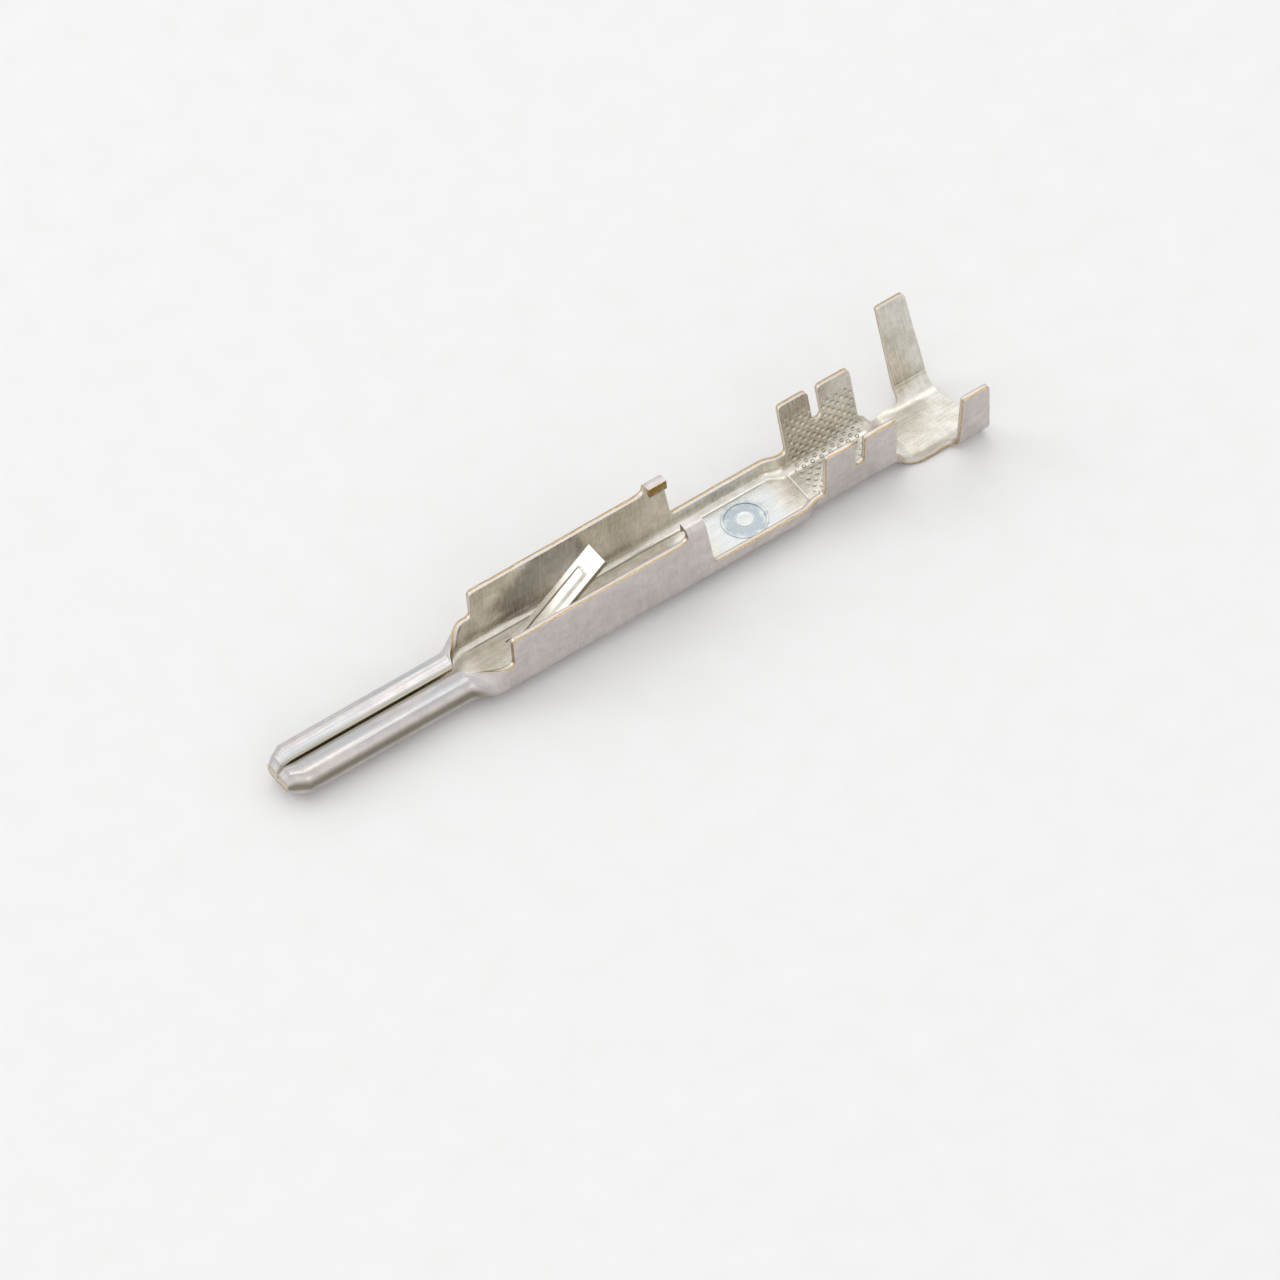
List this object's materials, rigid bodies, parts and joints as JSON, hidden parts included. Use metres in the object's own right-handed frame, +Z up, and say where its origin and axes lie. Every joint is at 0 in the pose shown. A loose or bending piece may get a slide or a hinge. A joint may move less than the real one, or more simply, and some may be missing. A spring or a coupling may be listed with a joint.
{
  "type": "crimp pin contact",
  "caption": "Stamped and folded male crimp contact: rolled hollow blade, channel body with locking lance, and open wire and insulation crimp wings.",
  "frame": {"origin": "on the underside of the floor, in the middle of the low walled bridge, under the stamped round mark", "axes": "+X along the contact, from the blade's tip to the cable end; +Y across, to the side of the tall insulation wing; +Z up out of the open channel"},
  "size_m": [0.0207, 0.0034, 0.0031],
  "materials": {
    "tinned_brass": "bright reflow tin over a stamped brass strip"
  },
  "bodies": {
    "root": {"pin_contact": "tinned_brass"}
  },
  "joints": []
}
